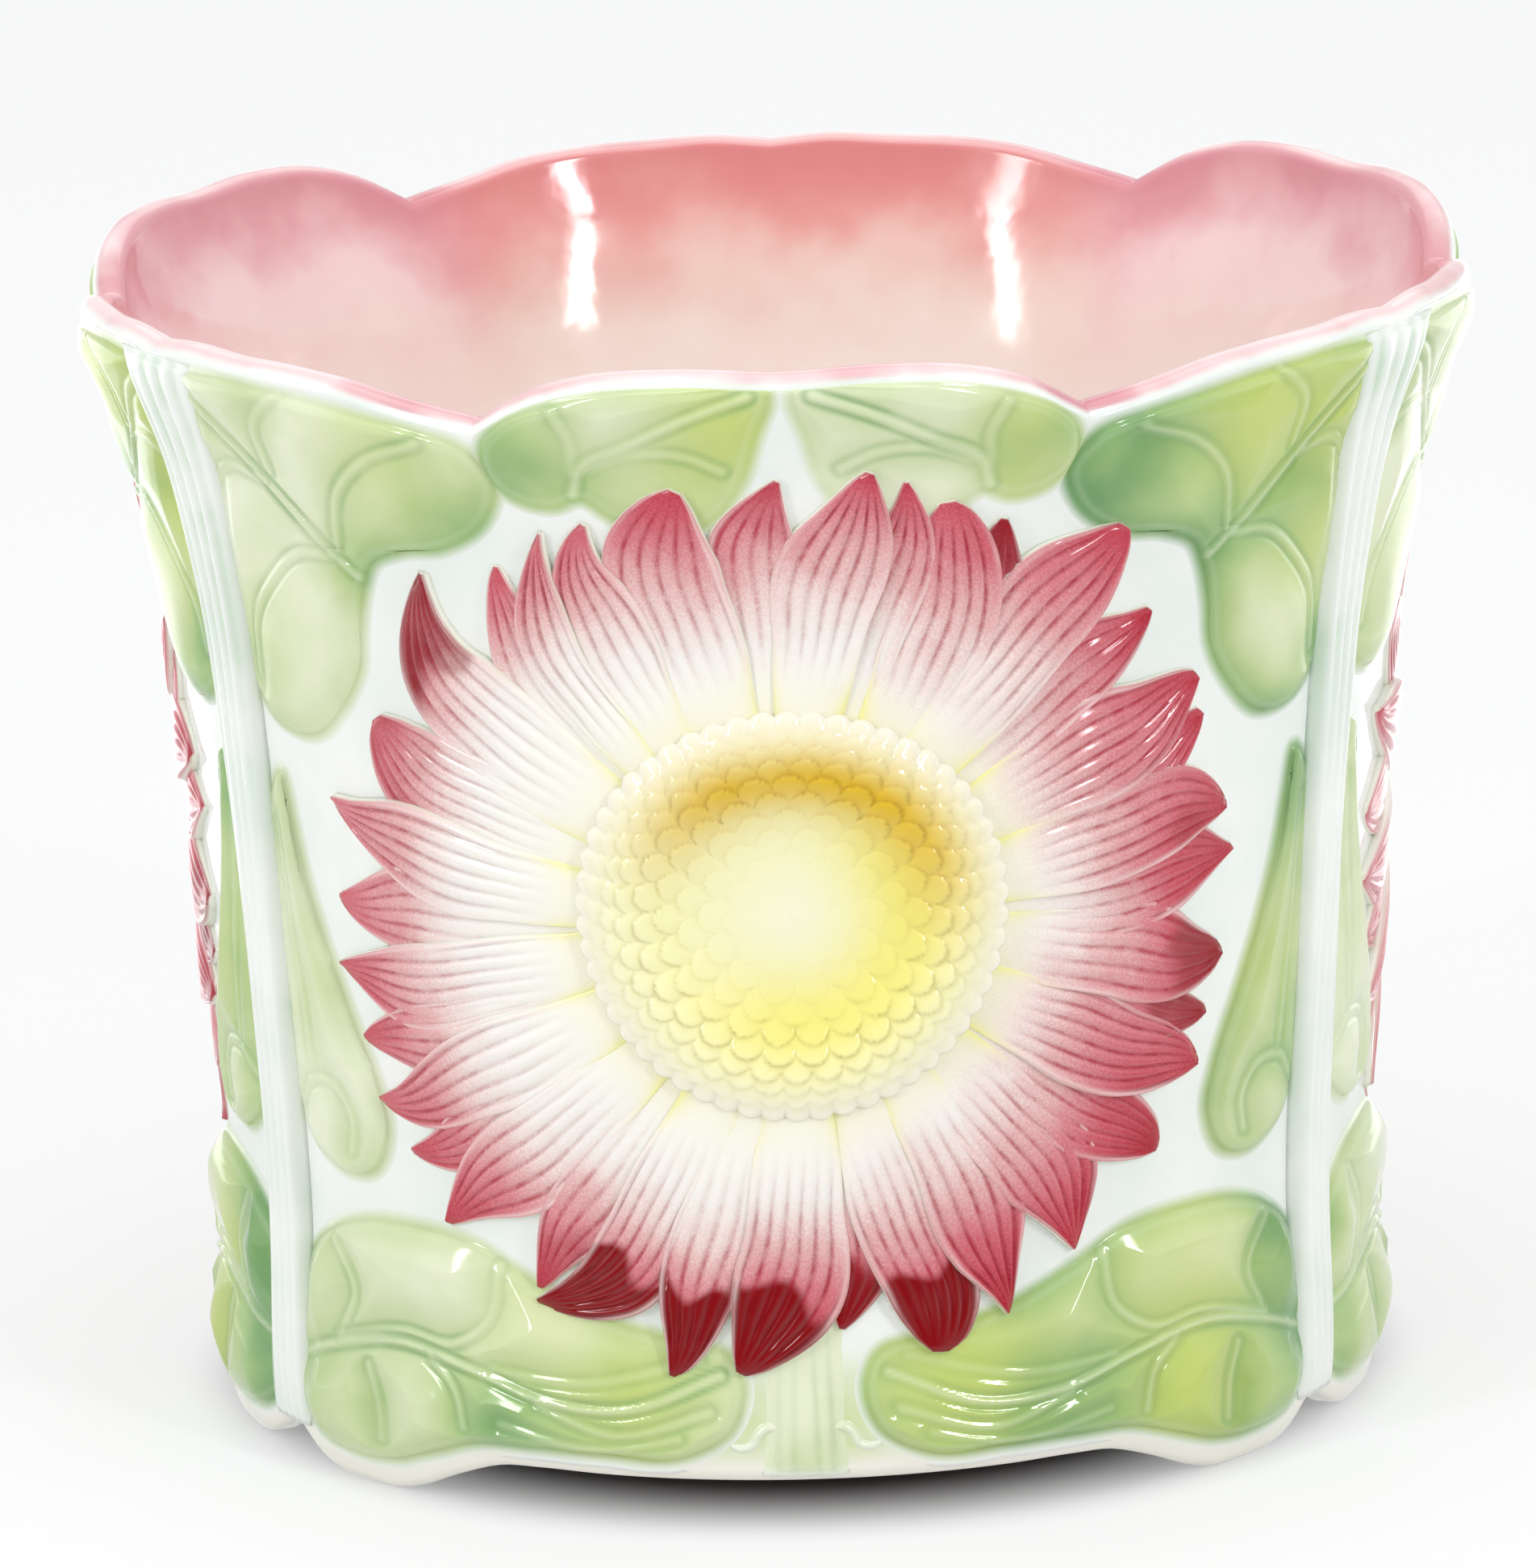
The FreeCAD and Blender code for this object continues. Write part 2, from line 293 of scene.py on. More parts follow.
body_rows = []
for up in np.linspace(0, 1, outside_rows):
    height = foot + foot_round + up * (rim - lip_round - foot - foot_round)
    body_rows.append((wall_radius(height), height, 0, bare_clay(bare_outside, height)))
for bend in np.linspace(0, math.pi, lip_rows)[1:-1]:
    height = rim - lip_round + lip_round * math.sin(bend)
    radius = wall_radius(rim - lip_round) - lip_round + lip_round * math.cos(bend)
    body_rows.append((radius, height, bend / math.pi, 0))
for down in np.linspace(0, 1, inside_rows):
    height = rim - lip_round + down * (foot + foot_round - rim + lip_round)
    body_rows.append((wall_radius(height) - wall_thickness, height, 1, bare_clay(bare_inside, height)))
for bend in np.linspace(0, math.pi, foot_rows)[1:-1]:
    height = foot + foot_round * (1 - min(1, foot_flatness * math.sin(bend)))
    radius = wall_radius(foot + foot_round) - wall_thickness / 2 * (1 + math.cos(bend))
    body_rows.append((radius, height, 0, 1))
body_rows.append(body_rows[0])
on_skirt = np.exp(-(from_middle / skirt_angle) ** 4)
body_places = np.stack([round_place(radius, turn, height) for radius, height, _, _ in body_rows])
body_masks = {
    "lining": np.stack([lining + 0 * turn for _, _, lining, _ in body_rows]),
    "bare_foot": np.stack([bare + 0 * turn for _, _, _, bare in body_rows]),
    "below_rim": np.stack([rim - height for _, height, _, _ in body_rows]),
    "centre_lobe": ease(*pale_lobe, from_middle),
    "notch": np.exp(-((from_middle - notch_angle) / notch_width) ** 2),
    "skirt_wash": np.stack([
        (lining == 0) * on_skirt * ease(*skirt_heights, height) for _, height, lining, _ in body_rows
    ]),
}
cast_body = sheet("cast_body", body_places, body_masks)

white_ground = tint(246, 248, 245)
thick_ground = tint(230, 240, 235)
skirt_green = tint(210, 222, 168)
biscuit = tint(241, 238, 229)
thin_brushing = tint(240, 210, 210)
thick_brushing = tint(211, 140, 149)
pink_reach = 60
drip_length = 9
corner_pinks = (
    (0, tint(221, 137, 137)), (0.12, tint(229, 164, 159)), (0.28, tint(235, 197, 188)),
    (0.5, tint(241, 221, 212)), (0.75, tint(245, 232, 224)), (1, tint(246, 235, 228)),
)
lobe_pinks = (
    (0, tint(217, 142, 153)), (0.08, tint(229, 172, 178)), (0.22, tint(240, 207, 208)),
    (0.5, tint(244, 222, 217)), (0.8, tint(245, 230, 223)), (1, tint(246, 234, 227)),
)


def ground_paint(tree, skin):
    """The bluish white ground, greener where the glaze lies thick."""
    return wash(tree, times(tree, skin["Cloud"], 0.7), white_ground, thick_ground)


def body_paint(tree, skin):
    """White outside with a little green on the skirt, brushed pink on the lip, sprayed pink inside."""
    skirt = times(tree, mask(tree, "skirt_wash"), patchy(tree, skin, 0.6, 1))
    ground = wash(tree, skirt, ground_paint(tree, skin), skirt_green)
    drip = swing(tree, skin["Cloud"], drip_length)
    down = stretch(tree, plus(tree, mask(tree, "below_rim"), drip), 0, pink_reach, 0, 1)
    pink = wash(tree, mask(tree, "centre_lobe"), ramp(tree, down, corner_pinks), ramp(tree, down, lobe_pinks))
    stroke = stretch(tree, plus(tree, skin["Cloud"], mask(tree, "notch")), 0.2, 1.7, 0, 1)
    brushed = wash(tree, stroke, thin_brushing, thick_brushing)
    lip = wash(tree, stretch(tree, mask(tree, "lining"), 0.55, 0.9, 0, 1), brushed, pink)
    edge = plus(tree, mask(tree, "lining"), times(tree, skin["Cloud"], 0.08))
    glazed = wash(tree, stretch(tree, edge, 0.12, 0.32, 0, 1), ground, lip)
    return wash(tree, mask(tree, "bare_foot"), glazed, biscuit)


body_glaze = glaze("body_glaze", body_paint)
dress(cast_body, body_glaze, "white_glaze", "front_wall_panel", "right_wall_panel", "left_wall_panel")

# The floor is cast in one with the body. It closes the pot a little above the feet, with a soft cove
# up the wall, and its top takes the last of the pink spray.
floor_knots = ((0, 16), (60, 16), (84, 16.05), (88, 16.6), (91, 18.4), (92.6, 21))
floor_flat = 84
cove_radius, cove_height = floor_knots[-1]
cove_rows = 14
floor_edge = 94.5
floor_under = 9
floor_columns = 145
floor_pink = tint(246, 234, 224)
deeper_floor_pink = tint(241, 224, 214)
floor_turn = np.radians(np.linspace(0, 360, floor_columns))
floor_radii = np.append(np.arange(0, floor_flat, 6), np.linspace(floor_flat, cove_radius, cove_rows))
floor_rows = [(radius, through(floor_knots, radius)) for radius in floor_radii]
floor_rows += [(floor_edge, cove_height), (floor_edge, floor_under), (60, floor_under), (0, floor_under)]
floor_places = np.stack([round_place(radius, floor_turn, height) for radius, height in floor_rows])
pot_floor = sheet("pot_floor", floor_places, {})


def lining_paint(tree, skin):
    return wash(tree, skin["Cloud"], floor_pink, deeper_floor_pink)


dress(pot_floor, glaze("lining_glaze", lining_paint), "pink_glaze", "floor_slab")

# The pillars are reeded ribs that cover the three corners of the mould, from the gap between two feet
# up to the rim, where they splay. White glaze, with a thin green brushed into the reeds.
pillar_bottom = 6
pillar_top = 191.5
pillar_middle = (pillar_bottom + pillar_top) / 2
pillar_half_height = 93.2
pillar_knots = ((6, 6.2), (60, 6), (118, 6.3), (158, 8), (176, 10), (192, 13))
pillar_rise = 3.3
pillar_sunk = 0.6
pillar_rows = 120
pillar_columns = 41
reed_count = 5
reed_depth = 0.35
reed_sway = 0.12
sway_length = 30
fan_heights = (110, 165)
reed_green = tint(170, 206, 162)


def wall_point(angle, height, proud):
    """A place on the wall, an angle in degrees from the middle of the front, this far proud."""
    return round_place(wall_radius(height) + proud, np.radians(angle), height)


up = np.linspace(pillar_bottom, pillar_top, pillar_rows)[:, None]
side = np.linspace(-1, 1, pillar_columns)[None, :]
half_width = through(pillar_knots, up)
taper = np.sqrt(np.clip(1 - ((up - pillar_middle) / pillar_half_height) ** 8, 0, 1))
reeds = np.cos((side + reed_sway * np.sin(up / sway_length)) * math.pi * reed_count)
fanned = 0.25 + 0.75 * ease(*fan_heights, up)
rounded = 1 - side ** 6
rise = taper * pillar_rise * rounded - reed_depth * (1 - reeds) * rounded * taper * fanned
rise = np.concatenate([rise, -pillar_sunk + 0 * up, rise[:, :1]], 1)
spread = np.concatenate([side + 0 * up, 0 * up, side[:, :1] + 0 * up], 1) * half_width
rise = np.concatenate([-pillar_sunk + 0 * rise[:1], rise, -pillar_sunk + 0 * rise[:1]])
spread = np.concatenate([0 * spread[:1], spread, 0 * spread[:1]])
up = np.concatenate([up[:1], up, up[-1:]])
pillar_angle = corner_angle + np.degrees(spread / wall_radius(up))
pillar_green = np.zeros(spread.shape)
pillar_green[1:-1, :pillar_columns] = 0.9 * (1 - reeds) / 2 * fanned + 0.3 * side ** 8 * (0.5 + fanned)
pillar_places = wall_point(pillar_angle, up + 0 * spread, rise)
corner_pillar = sheet("corner_pillar", pillar_places, {"reed_groove": pillar_green})


def pillar_paint(tree, skin):
    green = times(tree, mask(tree, "reed_groove"), patchy(tree, skin, 0.2, 0.7))
    return wash(tree, green, ground_paint(tree, skin), reed_green)


pillar_glaze = glaze("pillar_glaze", pillar_paint)


def turned(piece, name, angle):
    """A copy of a piece with its own mesh, turned about the pot's axis."""
    copy = piece.copy()
    copy.data = piece.data.copy()
    copy.name = name
    copy.data.name = name
    copy.data.transform(Matrix.Rotation(math.radians(angle), 4, "Z"))
    bpy.context.scene.collection.objects.link(copy)
    return copy


for corner, angle in (("back", 120), ("front_left", 240)):
    other_pillar = turned(corner_pillar, f"reeded_pillar_{corner}", angle)
    dress(other_pillar, pillar_glaze, "white_glaze", f"pillar_{corner}")
corner_pillar.name = "reeded_pillar_front_right"
dress(corner_pillar, pillar_glaze, "white_glaze", "pillar_front_right")

# The daisy's petals are pressed in a mould and luted on in two layers, no two petals alike. Each has
# lengthwise grooves and a raised edge; crimson is sprayed from the tips in, over white and pale yellow.
# A petal: turn of its base and of its tip, clockwise from the top, reach, half width, blunt, dark tip.
flower_height = 105
wrap_radius = 101.5
petal_root = 30
upper_petals = (
    (342, 346, 74, 8, 0.5, 0.1), (5.5, 8.5, 76, 6.8, 0.3, 0.2), (28, 22, 73, 7.4, 0.5, 0),
    (40, 39.5, 81, 7.6, 0.5, 0.2), (64, 65, 77, 7.8, 0.3, 0.2), (81, 82, 78, 7.2, 0.4, 0.3),
    (102, 100.5, 79, 7, 0.7, 0.4), (117, 116, 80, 7.2, 0.4, 0.2), (137, 140, 78, 8.2, 0.1, 0.1),
    (148, 152.5, 79, 7, 0.1, 0.15), (161, 163, 79.5, 7.8, 0.8, 1), (180, 185, 79, 8, 0.5, 1),
    (193, 196, 82, 6.5, 0.3, 1), (203, 211, 82, 7, 0.2, 1), (226, 227.5, 85, 7, 0.2, 0.1),
    (240, 244, 85, 6.7, 0.2, 0.1), (256, 258, 85, 6.5, 0.2, 0.1), (274, 279, 83, 6.6, 0.2, 0.1),
    (300, 311, 80, 8.3, 0.1, 0.5), (318, 327, 74, 4, 0.1, 0.2), (327, 335, 72.5, 6.5, 0.15, 0.1),
)
under_petals = (
    (356, 358, 74, 5, 0.1, 0.3), (15, 14, 75, 4.2, 0.1, 0), (33, 29, 73, 4.5, 0.2, 0.5),
    (52, 51, 75, 4.5, 0.3, 0.2), (73, 71, 76, 4.2, 0.5, 0.3), (91, 89, 80, 6, 0, 0),
    (109, 108, 79, 4.2, 0.5, 0.5), (127, 127, 80, 5.5, 0.6, 0.1), (171, 173, 71.5, 4.6, 0.3, 0.6),
    (214, 215, 80, 4.6, 0.2, 0.3), (234, 237, 84, 4.6, 0.2, 0.2), (248, 249.5, 84, 4.2, 0.5, 0.2),
    (265, 268, 83, 6, 0.3, 0.2), (287, 291, 76, 6.5, 0.7, 0.3), (312, 320, 73, 3.6, 0.4, 0.1),
)
pointed_shares = (
    (0, 0.62), (0.3, 0.86), (0.55, 1), (0.68, 0.98), (0.78, 0.8), (0.87, 0.5), (0.94, 0.24), (1, 0.04),
)
blunt_shares = (
    (0, 0.62), (0.3, 0.86), (0.55, 1), (0.7, 1), (0.82, 0.93), (0.91, 0.74), (0.97, 0.48), (1, 0.2),
)
petal_rows = 52
petal_columns = 35
petal_sunk = 0.4
side_half_way, side_foot = 0.3, 0.55
side_shoulder = 0.6
furrow_width = 0.2
lines_per_mm = (0.64, 0.76, 0.7)
phase_step = 2.4
root_yellow_ends = (44, 33)
edge_yellow_ends = (50, 37)
dark_tip_starts = (0.64, 0.8)
spray_start, start_swing, start_side = 36.5, 10.5, 268
spray_strength, strength_swing, strength_side = 0.87, 0.1, 315


def flower_point(along, upward, proud):
    """A place on the front face, measured along the wall and up from the middle of the flower."""
    return wall_point(np.degrees(along / wrap_radius), flower_height + upward, proud)


def petal(base_turn, tip_turn, reach, half_width, blunt, dark, proud, lines, phase):
    """One petal as a closed tube of clay: its places, and its glaze masks."""
    # The line from root to tip and the width along it; both sway a little, by the petal's phase.
    t = np.linspace(0, 1, petal_rows)
    flicker = 1.3 * np.sin(7 * t + phase) * ease(0.35, 0.8, t)
    turn = np.radians(base_turn + (tip_turn - base_turn) * (0.35 * t + 0.95 * t ** 4.5) + flicker)
    length = petal_root + (reach - petal_root) * t
    width = half_width * ((1 - blunt) * through(pointed_shares, t) + blunt * through(blunt_shares, t))
    width = width * (1 + 0.08 * np.sin(9 * t + phase) * ease(0.2, 0.5, t))
    # One more row closes the root, and three turn over the tip and close it.
    rows = [0, *range(petal_rows), *[petal_rows - 1] * 3]
    t = t[rows][:, None]
    turn = turn[rows]
    length = np.append(length[rows[:-3]], reach + np.array([0.3, 0.5, 0]))
    width = np.concatenate([[0], width, width[-1:] * 0.9, width[-1:] * 0.9, [0]])[:, None]
    spine = np.stack([length * np.sin(turn), length * np.cos(turn)], -1)
    heading = np.gradient(spine[1:-3], axis=0)[rows]
    heading /= np.linalg.norm(heading, axis=1)[:, None]
    across = np.stack([heading[:, 1], -heading[:, 0]], -1)
    # Across: up one side from the wall, over the top, down the other side and back under.
    top = np.linspace(-1, 1, petal_columns)
    s = np.concatenate([[-1, -1], top, [1, 1, -1]])[None, :]
    out = np.concatenate([[-side_foot, -side_half_way], 0 * top, [side_half_way, side_foot, -side_foot]])
    out = out[None, :] * (width > 0)
    level = np.concatenate([[0, side_shoulder], 0 * top + 1, [side_shoulder, 0, 0]])
    level = level[None, :] * np.ones(t.shape)
    level[[0, -1, -2]] = 0
    level[-3] *= side_shoulder
    # The top swells and tilts, with lengthwise furrows between two raised edges.
    comb = (s + 0.1 * np.sin(4 * t + phase)) * (lines / 2 + 0.3 * t) + 0.3 * math.sin(phase)
    lined = ease(0.15, 0.45, t) * (1 - ease(0.84, 0.97, t)) * (np.abs(s) < 0.9)
    furrow = np.exp(-((comb - np.rint(comb)) / furrow_width) ** 2) * lined
    lip = np.exp(-((np.abs(s) - 0.95) / 0.06) ** 2) * ease(0.1, 0.4, t)
    swell = 0.78 + 0.26 * np.sin(math.pi * t ** 0.8) - 0.2 * ease(0.75, 1, t)
    tilt = 0.2 * s * ease(0.1, 0.5, t)
    top_rise = proud * (swell * (1 - 0.22 * s ** 2) - 0.25 * furrow + 0.08 * lip + tilt)
    rise = level * np.maximum(top_rise, petal_sunk) - petal_sunk * (level == 0)
    flat = spine[:, None, :] + across[:, None, :] * (width * s + out)[..., None]
    places = flower_point(flat[..., 0], flat[..., 1], rise)
    # The spray starts further out on one side of the flower and is weaker on another.
    spread = np.hypot(flat[..., 0], flat[..., 1])
    start = spray_start + start_swing * math.cos(math.radians(base_turn - start_side))
    strength = spray_strength - strength_swing * math.cos(math.radians(base_turn - strength_side))
    to_edge = np.abs(s)
    rooting = ease(*root_yellow_ends, spread) * (0.4 + 0.6 * to_edge ** 3)
    rooting = rooting + 0.8 * ease(*edge_yellow_ends, spread) * to_edge ** 8
    # The masks: comb and lined lay the painted shade down the furrows, petal_edge the painted highlight on
    # the raised edges.
    masks = {
        "spray": np.clip((spread - start) / (reach - start), 0, 1) * strength,
        "rooting": rooting,
        "comb": comb,
        "lined": lined,
        "petal_edge": np.clip(lip, 0, 1) * (level == 1),
        "petal_side": 1.0 - (level == 1),
        "dark_tip": dark * ease(*dark_tip_starts, t + 0.04 * np.sin(4 * s + phase)),
    }
    return places, masks


def joined(name, parts):
    """Several bits of clay as one piece."""
    for part in parts:
        part.select_set(True)
    bpy.context.view_layer.objects.active = parts[0]
    bpy.ops.object.join()
    parts[0].name = name
    return parts[0]


def petal_layer(name, petals, widen, proud, step):
    """All petals of one layer, joined into one piece; every other one stands a step prouder."""
    parts = []
    for number, (base_turn, tip_turn, reach, half_width, blunt, dark) in enumerate(petals):
        lines = lines_per_mm[number % 3] * half_width * widen
        lift = proud + step * (number % 2)
        phase = phase_step * number
        shape = petal(base_turn, tip_turn, reach, half_width * widen, blunt, dark, lift, lines, phase)
        parts.append(sheet(f"{name}_{number}", *shape))
    return joined(name, parts)


crimson_spray = (
    (0, tint(249, 248, 240)), (0.2, tint(246, 241, 236)), (0.34, tint(241, 221, 217)),
    (0.47, tint(228, 178, 179)), (0.62, tint(215, 128, 137)), (0.77, tint(202, 86, 100)),
    (0.89, tint(187, 54, 71)), (1, tint(168, 28, 44)),
)
dark_crimson = tint(136, 0, 10)
furrow_shade_crimson = tint(178, 30, 54)
painted_edge_highlight = tint(248, 224, 222)
root_yellow = tint(246, 242, 170)
petal_side_white = tint(240, 240, 228)


def petal_paint(tree, skin):
    """Crimson sprayed from the tips in, painted shade in the furrows, a painted highlight on the edges,
    yellow at the root.
    """
    uneven = plus(tree, swing(tree, skin["Speckle"], 0.08), swing(tree, skin["Cloud"], 0.14))
    spray = plus(tree, mask(tree, "spray"), uneven)
    dark_tip = plus(tree, mask(tree, "dark_tip"), times(tree, skin["Cloud"], 0.2))
    sprayed = ramp(tree, spray, crimson_spray)
    darkened = wash(tree, stretch(tree, dark_tip, 0.28, 0.75, 0, 1), sprayed, dark_crimson)
    from_line = sums(tree, "PINGPONG", mask(tree, "comb"), 0.5)
    line = times(tree, stretch(tree, from_line, 0.0, 0.27, 1, 0), mask(tree, "lined"))
    brushing = stretch(tree, skin["Brush"], 0, 1, 0.35, 1)
    # Painted shade: a deeper crimson line down each furrow.
    groove_shaded = times(tree, line, times(tree, stretch(tree, spray, 0.05, 0.7, 0.14, 0.8), brushing))
    groove_shaded = times(tree, groove_shaded, stretch(tree, mask(tree, "dark_tip"), 0.3, 0.8, 1, 0.3))
    lined = wash(tree, groove_shaded, darkened, furrow_shade_crimson)
    # Painted highlight: a pale line along each petal's raised edge.
    highlighted_edges = wash(tree, times(tree, mask(tree, "petal_edge"), patchy(tree, skin, 0.15, 0.7)), lined, painted_edge_highlight)
    rooted = wash(tree, times(tree, mask(tree, "rooting"), patchy(tree, skin, 0.5, 0.9)), highlighted_edges, root_yellow)
    return wash(tree, mask(tree, "petal_side"), rooted, petal_side_white)


petal_glaze = glaze("petal_glaze", petal_paint)


def on_every_face(piece, name, material, slot, part=None):
    """Lays a piece of the front face on the other two faces as well."""
    copies = {
        "right": turned(piece, f"right_{name}", face_angle),
        "left": turned(piece, f"left_{name}", -face_angle),
        "front": piece,
    }
    piece.name = f"front_{name}"
    for face, copy in copies.items():
        nodes = [f"{face}_{part}"] if part else []
        dress(copy, material, slot, *nodes)


low_petals = petal_layer("low_petals", under_petals, widen=1.42, proud=1.55, step=0.25)
on_every_face(low_petals, "low_petals", petal_glaze, "crimson_glaze", "under_petals")
high_petals = petal_layer("high_petals", upper_petals, widen=1.1, proud=2.45, step=0.4)
on_every_face(high_petals, "high_petals", petal_glaze, "crimson_glaze", "upper_petals")

# The flower's disc is a hollow boss: rows of scales overlap up its rim, tips outwards, round a small
# rosette in the bowl. Cream at the rim, yellow inside, with amber on its upper right: amber glaze,
# deepened there into painted shade on the bowl's upper inner wall.
# A row of scales: how far out its tips are, their count, length and lift.
scale_rows = (
    (6.5, 8, 5, 0.06), (11, 11, 6, 0.12), (15, 14, 6, 0.25), (18.4, 18, 5, 0.55), (21.6, 22, 5, 0.85),
    (24.8, 27, 5, 1), (27.6, 33, 5, 0.75), (30, 40, 5, 0.5), (32.5, 47, 4.5, 0.35), (35, 54, 4, 0.25),
)
bowl_knots = (
    (0, 1.7), (8, 1.5), (13, 1.6), (17, 2.3), (22, 3.9), (26, 4.9), (29.5, 4.9), (32, 4.2), (35, 2.8),
)
disc_radius = 35
disc_rows = 84
disc_columns = 433
disc_sunk = 0.4
scale_round = 0.55
scale_lip = 0.35
crevice_width = 0.55
scallop_count = 54
scallop_depth = 0.028
# Where the amber glaze and its painted shade sit: side, ring and width.
amber_side, amber_ring, amber_width = 14, 24, 6
golden_side, golden_ring, golden_width = 125, 18, 8
disc_turn = np.linspace(0, 2 * math.pi, disc_columns)[None, :]
disc_r = np.append(np.linspace(0, disc_radius, disc_rows), [disc_radius])[:, None]
shown = np.zeros((len(disc_r), disc_turn.size), bool)
bump_up = np.zeros(shown.shape)
crevice = np.zeros(shown.shape)
inner_edge = 0
for number, (tip, count, long, lift) in enumerate(scale_rows):
    width = 2 * math.pi * tip / count
    place = (disc_turn / (2 * math.pi) * count + 0.5 * (number % 2)) % 1 - 0.5
    edge = tip - scale_round * width * (1 - np.sqrt(1 - (1.96 * place) ** 2 * 0.98))
    here = (disc_r < edge) & ~shown
    along = np.clip((disc_r - tip + long) / long, 0, 1)
    lip = 1 - np.exp(-np.maximum(edge - disc_r, 0) / scale_lip)
    scale_up = lift * (along ** 1.3 * (0.75 + 0.25 * lip) + 0.35 * (1 - (2 * place) ** 2))
    bump_up = np.where(here, scale_up, bump_up)
    behind_tip = np.exp(-np.maximum(disc_r - inner_edge, 0) / crevice_width) * (number > 0)
    crevice = np.where(here, behind_tip, crevice)
    inner_edge = edge
    shown |= here
disc_up = through(bowl_knots, disc_r) + bump_up
disc_up[-1] = -disc_sunk
scallop = 2 * (((disc_turn / (2 * math.pi) * scallop_count + 0.5) % 1) - 0.5)
scalloped = disc_r * (1 - scallop_depth * (disc_r / disc_radius) ** 12 * scallop ** 2)
disc_places = flower_point(scalloped * np.sin(disc_turn), scalloped * np.cos(disc_turn), disc_up)
under_middle = flower_point(np.zeros(1), np.zeros(1), np.full(1, -disc_sunk))
disc_places = np.concatenate([disc_places, np.repeat(under_middle, disc_turn.size, 0)[None]])
to_amber = np.cos(disc_turn - math.radians(amber_side))
to_golden = np.cos(disc_turn - math.radians(golden_side))
disc_masks = {
    "from_middle": disc_r / disc_radius + 0 * disc_turn,
    # amber: amber glaze with painted shade, strongest on the upper right of the bowl's wall.
    "amber": np.exp(-((disc_r - amber_ring) / amber_width) ** 2) * ease(-0.25, 0.95, to_amber),
    "golden": np.exp(-((disc_r - golden_ring) / golden_width) ** 2) * ease(-0.7, 0.6, to_golden),
    "crevice": crevice * ease(4, 22, disc_r) * ease(36, 25, disc_r),
}
disc_masks = {name: np.concatenate([values, values[:1]]) for name, values in disc_masks.items()}
flower_disc = sheet("flower_disc", disc_places, disc_masks)

disc_creams = (
    (0, tint(246, 245, 216)), (0.3, tint(247, 245, 200)), (0.6, tint(248, 245, 188)),
    (0.8, tint(248, 246, 204)), (1, tint(249, 245, 230)),
)
disc_gold = tint(243, 234, 112)
amber_and_painted_shade = tint(230, 190, 48)
pale_crevice = tint(228, 212, 120)
amber_crevice = tint(186, 132, 24)


def disc_paint(tree, skin):
    cream = ramp(tree, mask(tree, "from_middle"), disc_creams)
    gold = wash(tree, times(tree, mask(tree, "golden"), 0.8), cream, disc_gold)
    # Amber glaze with painted shade over the upper right of the bowl.
    amber_shaded = wash(tree, times(tree, mask(tree, "amber"), patchy(tree, skin, 0.85, 1)), gold, amber_and_painted_shade)
    deep = wash(tree, mask(tree, "amber"), pale_crevice, amber_crevice)
    return wash(tree, times(tree, mask(tree, "crevice"), 0.5), amber_shaded, deep)


on_every_face(flower_disc, "daisy_disc", glaze("disc_glaze", disc_paint), "yellow_glaze", "flower_disc")

# The leaves and pods are pressed and luted on: a heart-shaped leaf in each upper corner, a crown leaf
# under the rim, a pod beside the flower and a long leaf round each foot, under runny green glazes.
# Their points are given by the angle from the middle of the face, and by height.
leaf_step = 0.72
vein_step = 0.4
film_steps = (0.35, 0.8, 1.3, 1.9, 2.6)
film_rise = 0.5
edge_round = 2.2
vein_width = 0.55
vein_rise = 0.45
groove_gap = 1.25
groove_depth = 0.3
pillow_size = 5.5
flat_share = 0.6
leaf_sunk = 0.4
low_by_petals = (90, 80)
lower_under_petals = (85, 77)
low_by_pillar = (53, 57.5)
foot_margin = 1
rim_margin = 2.4


def face_place(angle, height):
    """A point of the face laid flat: along the wall, and up."""
    return np.array([math.radians(angle) * wrap_radius, height])


def walked(knots):
    """How far along a line each of its knots is."""
    return np.concatenate([[0], np.cumsum(np.linalg.norm(np.diff(knots, axis=0), axis=1))])


def drawn(knots, far, run):
    """The smooth line through the knots, at places this far along it."""
    return np.stack([through(np.stack([far, knots[:, k]], -1), run) for k in (0, 1)], -1)


def outline_through(points):
    """A smooth closed outline, as closely set places."""
    knots = np.array([face_place(*point) for point in points])
    laps = np.concatenate([knots, knots, knots, knots[:1]])
    far = walked(laps)
    start, end = far[len(knots)], far[2 * len(knots)]
    return drawn(laps, far, np.linspace(start, end, int((end - start) / leaf_step) + 1))


def line_through(points):
    """A smooth open line, such as a vein, as closely set places."""
    knots = np.array([face_place(*point) for point in points])
    far = walked(knots)
    return drawn(knots, far, np.linspace(0, far[-1], int(far[-1] / vein_step) + 2))


def nearest(places, line):
    """How far each place is from a line."""
    gaps = [np.min(np.linalg.norm(row[:, None, :] - line[None], axis=2), axis=1) for row in places]
    return np.stack(gaps)


